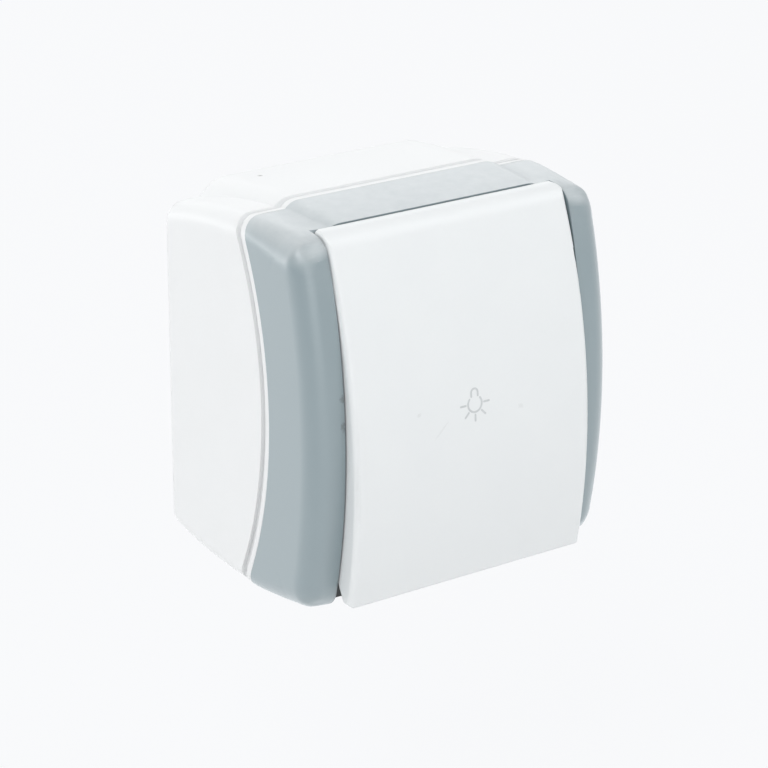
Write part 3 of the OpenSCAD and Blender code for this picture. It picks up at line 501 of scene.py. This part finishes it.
def roundCorners(look, data):
    mesh = bmesh.new()
    mesh.from_mesh(data)
    bmesh.ops.remove_doubles(mesh, verts=mesh.verts, dist=0.001 * mm)
    corners = [(side, top, *ballCentre(look, top)) for side in (-1, 1) for top in (-1, 1)]

    def fromCentre(place, corner):
        side, top, x, centre, _, _ = corner
        return Vector((side * place.x / mm - x, -place.y / mm - centre.x, top * place.z / mm - centre.y))

    for corner in corners:
        for _ in range(4):
            coarse = [edge for edge in mesh.edges if edge.calc_length() > look["fineEdge"] * mm
                      and all(fromCentre(v.co, corner).length < look["ballReach"] for v in edge.verts)
                      and all(fromCentre(v.co, corner).x > -1 for v in edge.verts)]
            if not coarse:
                break
            bmesh.ops.subdivide_edges(mesh, edges=coarse, cuts=1)
            bmesh.ops.triangulate(mesh, faces=[face for face in mesh.faces if len(face.verts) > 3])
        side, top, x, centre, onTop, onFront = corner
        for vertex in mesh.verts:
            away = fromCentre(vertex.co, corner)
            flat = away.yz
            between = onTop.x * flat.y - onTop.y * flat.x < 0 < onFront.x * flat.y - onFront.y * flat.x
            if away.x > 0 and between and away.length > look["ball"]:
                away *= look["ball"] / away.length
                vertex.co = Vector((side * (away.x + x), -(away.y + centre.x), top * (away.z + centre.y))) * mm
        skin = {}
        for vertex in mesh.verts:
            away = fromCentre(vertex.co, corner)
            if away.x > -0.8 and look["skinDepth"] < away.length < look["smoothReach"]:
                skin[vertex] = 0.6 * min((look["smoothReach"] - away.length) / 1.5, 1.0)
        for _ in range(look["smoothRounds"]):
            moved = {vertex: vertex.co.lerp(sum((edge.other_vert(vertex).co for edge in vertex.link_edges), Vector())
                                            / len(vertex.link_edges), share) for vertex, share in skin.items()}
            for vertex, place in moved.items():
                vertex.co = place
    bmesh.ops.dissolve_degenerate(mesh, dist=0.003 * mm, edges=mesh.edges)
    bmesh.ops.triangulate(mesh, faces=[face for face in mesh.faces if len(face.verts) > 3])
    dropFlaps(mesh)
    mesh.to_mesh(data)
    mesh.free()
    normals = data.attributes.get("custom_normal")
    if normals:
        data.attributes.remove(normals)
    data.shade_smooth()
    data.set_sharp_from_angle(angle=math.radians(40))


def fitForm(look, node, name):
    solid = nodes[node]
    piece = solid.copy()
    piece.data = solid.data.copy()
    piece.name = name
    bpy.context.scene.collection.objects.link(piece)
    for vertex in piece.data.vertices:
        place = solid.matrix_world @ vertex.co
        vertex.co = solid.matrix_world.inverted() @ fitPoint(look, node, place)
    if node == "front_frame":
        roundCorners(look, piece.data)
    piece.data.update()
    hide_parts(node)
    return piece


fitForm(fittedForm, "back_box", "boxShell")
fitForm(fittedForm, "front_frame", "frameShell")
print("stage: outer forms fitted")


# The springs and boot, which give way as the button is pressed, copied apart and attached to the bodies that carry
# them, in mm. "keep" is the share of length left at the plunger's limit.
softPieces = {
    "returnCoil": dict(node="return_spring", body="case", slot="spring_steel", anchor=6.52, keep=0.6235),
    "contactCoil": dict(node="contact_spring", body="plunger", slot="spring_steel", anchor=18.48, keep=0.915),
    "bootCap": dict(node="sealing_boot", body="case", slot="soft_rubber", anchor=33.25, keep=0.63, side="front"),
    "bootSheet": dict(node="sealing_boot", body="case", slot="soft_rubber", anchor=33.25, side="back"),
}


def cutAt(data, depth, side):
    # keeps what lies in front of or behind a depth, and closes the ring that the cut leaves
    mesh = bmesh.new()
    mesh.from_mesh(data)
    bmesh.ops.remove_doubles(mesh, verts=mesh.verts, dist=0.001 * mm)
    bmesh.ops.bisect_plane(mesh, geom=mesh.verts[:] + mesh.edges[:] + mesh.faces[:], plane_co=(0, -depth * mm, 0),
                           plane_no=(0, 1, 0), clear_outer=side == "front", clear_inner=side == "back")
    rim = [edge for edge in mesh.edges if edge.is_boundary]
    bmesh.ops.triangle_fill(mesh, use_beauty=True, edges=rim)
    bmesh.ops.triangulate(mesh, faces=[face for face in mesh.faces if len(face.verts) > 3])
    bmesh.ops.recalc_face_normals(mesh, faces=mesh.faces)
    mesh.to_mesh(data)
    mesh.free()


def softPiece(name, look):
    solid = nodes[look["node"]]
    piece = solid.copy()
    piece.data = solid.data.copy()
    piece.name = name
    bpy.context.scene.collection.objects.link(piece)
    piece.hide_render = piece.hide_viewport = False     # the solid may be hidden already
    if "side" in look:
        cutAt(piece.data, look["anchor"], look["side"])
    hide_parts(look["node"])
    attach(piece, look["body"])
    if "keep" in look:
        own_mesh(piece)


for name, look in softPieces.items():
    softPiece(name, look)


# The lamp sign printed on the button, built of round-ended strokes that follow the face
lampSign = {
    "centre": (0.0, 0.85),      # across and up, in mm
    "stroke": 0.36,
    "ink": 0.03,                # thickness of the print
    "bulbRadius": 1.5,
    "bulbOpening": 50,          # half of the gap at the top, in degrees
    "capRadius": 0.72,
    "capFoot": 1.4,             # above the bulb's centre
    "capShoulder": 2.05,
    "rayFrom": 2.0,
    "rayTo": 3.1,
    "rayAngles": (180, 225, 270, 315, 360),
    "colour": (0.545, 0.565, 0.575),
}


def strokePath(look):
    cx, cz = look["centre"]
    open_, radius = look["bulbOpening"], look["bulbRadius"]
    arc = [math.radians(90 + open_ + (360 - 2 * open_) * k / 40) for k in range(41)]
    yield [(cx + radius * math.cos(a), cz + radius * math.sin(a)) for a in arc]
    arch = [math.radians(180 - 180 * k / 20) for k in range(21)]
    r, top = look["capRadius"], cz + look["capShoulder"]
    foot = cz + look["capFoot"]
    legs = [(cx - r, foot + (top - foot) * k / 4) for k in range(4)]
    yield legs + [(cx + r * math.cos(a), top + r * math.sin(a)) for a in arch] + [(2 * cx - x, z) for x, z in reversed(legs)]
    for angle in look["rayAngles"]:
        c, s = math.cos(math.radians(angle)), math.sin(math.radians(angle))
        reach = [look["rayFrom"] + (look["rayTo"] - look["rayFrom"]) * k / 5 for k in range(6)]
        yield [(cx + d * c, cz + d * s) for d in reach]


def outlineStroke(path, width):
    # both sides of the stroke, joined by round ends
    half, left, right = width / 2, [], []
    for k, (x, z) in enumerate(path):
        ax, az = path[max(k - 1, 0)]
        bx, bz = path[min(k + 1, len(path) - 1)]
        length = math.hypot(bx - ax, bz - az)
        nx, nz = -(bz - az) / length * half, (bx - ax) / length * half
        left.append((x + nx, z + nz))
        right.append((x - nx, z - nz))

    def roundEnd(centre, start):
        a = math.atan2(start[1] - centre[1], start[0] - centre[0])
        return [(centre[0] + half * math.cos(a - math.pi * k / 6), centre[1] + half * math.sin(a - math.pi * k / 6))
                for k in range(1, 6)]
    return left, roundEnd(path[-1], left[-1]), right, roundEnd(path[0], right[0])


def printSign(look):
    button = nodes["button"]
    surface = BVHTree.FromObject(button, bpy.context.evaluated_depsgraph_get())
    mesh = bmesh.new()

    def onFace(point, lift):
        start = Vector((point[0] * mm, -0.2, point[1] * mm))
        hit, normal, _, _ = surface.ray_cast(start, Vector((0, 1, 0)))
        return hit + Vector((0, -lift * mm, 0))

    for path in strokePath(look):
        left, farEnd, right, nearEnd = outlineStroke(path, look["stroke"])
        ring = left + farEnd + right[::-1] + nearEnd
        tops = [mesh.verts.new(onFace(p, look["ink"])) for p in ring]
        feet = [mesh.verts.new(onFace(p, -0.02)) for p in ring]
        count, n = len(ring), len(left)
        for k in range(count):
            mesh.faces.new((tops[k], tops[(k + 1) % count], feet[(k + 1) % count], feet[k]))
        for k in range(n - 1):
            far, near = count - len(nearEnd) - 1 - k, count - len(nearEnd) - 2 - k
            mesh.faces.new((tops[k], tops[far], tops[near], tops[k + 1]))
            mesh.faces.new((feet[k], feet[k + 1], feet[near], feet[far]))
        for layer in (tops, feet):
            mesh.faces.new([layer[n - 1]] + layer[n:n + len(farEnd)] + [layer[n + len(farEnd)]])
            mesh.faces.new([layer[count - len(nearEnd) - 1]] + layer[count - len(nearEnd):] + [layer[0]])
    bmesh.ops.recalc_face_normals(mesh, faces=mesh.faces)
    data = bpy.data.meshes.new("lampSign")
    mesh.to_mesh(data)
    mesh.free()
    sign = bpy.data.objects.new("lampSign", data)
    bpy.context.scene.collection.objects.link(sign)
    return sign


def signInk(look):
    material = bpy.data.materials.new("signInk")
    material.use_nodes = True
    tree = material.node_tree
    surface = tree.nodes["Principled BSDF"]
    grain = placeGroup(tree, grainGroup, **{"Grain Scale": 5200.0, "Swell Scale": 900.0})
    thin = tuple(1.12 * c for c in look["colour"])
    tree.links.new(blendColours(tree, remap(tree, grain["Tone"], 0.35, 0.65), opaque(look["colour"]), opaque(thin)),
                   surface.inputs["Base Color"])
    tree.links.new(remap(tree, grain["Tone"], 0.3, 0.7, 0.42, 0.58), surface.inputs["Roughness"])
    relief = addNode(tree, "ShaderNodeBump")
    relief.inputs["Distance"].default_value = 0.02 * mm
    tree.links.new(grain["Height"], relief.inputs["Height"])
    tree.links.new(relief.outputs[0], surface.inputs["Normal"])
    return material


sign = printSign(lampSign)
sign.data.materials.append(signInk(lampSign))
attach(sign, "button")
print("stage: lamp sign printed")


# Studio: camera, floor, soft lights
studio = {
    "aim": (-1.965, -23.96, -2.404),    # mm, middle of the picture
    "azimuth": -35.68,
    "elevation": 20.174,
    "distance": 557.1,                  # mm
    "lens": 143.33,
    "background": (0.955, 0.963, 0.978),
    "floorDrop": 70,                    # mm below the part
    "floorShare": 0.93,                 # how much of the floor's colour the camera sees unlit
    "floorGloss": 1.6,                 # how much brighter the floor is in reflections
    "ambient": 0.44,
}


def placeCamera(look):
    a, e = math.radians(look["azimuth"]), math.radians(look["elevation"])
    forward = Vector((-math.sin(a) * math.cos(e), math.cos(a) * math.cos(e), -math.sin(e)))
    right = Vector((math.cos(a), math.sin(a), 0))
    up = right.cross(forward)
    data = bpy.data.cameras.new("camera")
    data.lens = look["lens"]
    data.sensor_width = 36
    camera = bpy.data.objects.new("camera", data)
    bpy.context.scene.collection.objects.link(camera)
    place = Vector(look["aim"]) * mm - forward * look["distance"] * mm
    turn = Matrix((right, up, -forward)).transposed().to_4x4()
    camera.matrix_world = Matrix.Translation(place) @ turn
    bpy.context.scene.camera = camera


def seenDirectly(tree):
    # 1 for camera, mirror and glass rays, so that these see the plain background
    rays = addNode(tree, "ShaderNodeLightPath").outputs
    glossy = calc(tree, "ADD", rays["Is Camera Ray"], rays["Is Glossy Ray"], True)
    return calc(tree, "ADD", glossy, rays["Is Transmission Ray"], True)


def layFloor(look):
    mesh = bmesh.new()
    bmesh.ops.create_circle(mesh, cap_ends=True, segments=64, radius=4.0)
    data = bpy.data.meshes.new("floor")
    mesh.to_mesh(data)
    mesh.free()
    floor = bpy.data.objects.new("floor", data)
    bpy.context.scene.collection.objects.link(floor)
    floor.location = (0, 0, cadBounds[0][2] - look["floorDrop"] * mm)
    material = bpy.data.materials.new("paleFloor")
    material.use_nodes = True
    tree = material.node_tree
    tree.nodes.clear()
    matt = addNode(tree, "ShaderNodeBsdfDiffuse")
    matt.inputs["Color"].default_value = opaque((0.82, 0.82, 0.82))
    plain = addNode(tree, "ShaderNodeEmission")
    plain.inputs["Color"].default_value = opaque(look["background"])
    glossy = addNode(tree, "ShaderNodeLightPath").outputs["Is Glossy Ray"]
    tree.links.new(remap(tree, glossy, 0.0, 1.0, 1.0, look["floorGloss"]), plain.inputs["Strength"])
    mix = addNode(tree, "ShaderNodeMixShader")
    tree.links.new(calc(tree, "MULTIPLY", seenDirectly(tree), look["floorShare"]), mix.inputs[0])
    tree.links.new(matt.outputs[0], mix.inputs[1])
    tree.links.new(plain.outputs[0], mix.inputs[2])
    tree.links.new(mix.outputs[0], addNode(tree, "ShaderNodeOutputMaterial").inputs["Surface"])
    data.materials.append(material)


def lightWorld(look):
    world = bpy.data.worlds.new("studio")
    bpy.context.scene.world = world
    world.use_nodes = True
    tree = world.node_tree
    tree.nodes.clear()
    ambient = addNode(tree, "ShaderNodeBackground")
    ambient.inputs["Color"].default_value = opaque((0.97, 0.985, 1.0))
    ambient.inputs["Strength"].default_value = look["ambient"]
    backdrop = addNode(tree, "ShaderNodeBackground")
    backdrop.inputs["Color"].default_value = opaque(look["background"])
    mix = addNode(tree, "ShaderNodeMixShader")
    tree.links.new(seenDirectly(tree), mix.inputs[0])
    tree.links.new(ambient.outputs[0], mix.inputs[1])
    tree.links.new(backdrop.outputs[0], mix.inputs[2])
    tree.links.new(mix.outputs[0], addNode(tree, "ShaderNodeOutputWorld").inputs["Surface"])


softboxes = {
    # direction the light comes from, in degrees, then mm and watts
    "keyLeft": dict(azimuth=-57, elevation=50, distance=1200, width=600, height=600, power=5.6),
    "fillRight": dict(azimuth=52, elevation=48, distance=1200, width=600, height=600, power=3.6),
    "rearTop": dict(azimuth=172, elevation=28, distance=1300, width=2200, height=700, power=5.8),
    "rearLeft": dict(azimuth=-142, elevation=4, distance=1300, width=1200, height=260, power=4.4),
    "leftBox": dict(azimuth=-98, elevation=6, distance=1300, width=800, height=800, power=0.5),
    "frontBox": dict(azimuth=-10, elevation=8, distance=1500, width=1000, height=1000, power=4.6),
}


def hangSoftboxes(boxes):
    centre = Vector((0, -25 * mm, 0))
    for name, look in boxes.items():
        a, e = math.radians(look["azimuth"]), math.radians(look["elevation"])
        direction = Vector((math.sin(a) * math.cos(e), -math.cos(a) * math.cos(e), math.sin(e)))
        data = bpy.data.lights.new(name, "AREA")
        data.shape = "RECTANGLE"
        data.size = look["width"] * mm
        data.size_y = look["height"] * mm
        data.energy = look["power"]
        lamp = bpy.data.objects.new(name, data)
        bpy.context.scene.collection.objects.link(lamp)
        lamp.location = centre + direction * look["distance"] * mm
        lamp.rotation_euler = direction.to_track_quat("Z", "Y").to_euler()
        lamp.visible_camera = False


placeCamera(studio)
layFloor(studio)
lightWorld(studio)
hangSoftboxes(softboxes)
bpy.context.scene.view_settings.view_transform = "Standard"
print("stage: studio set")
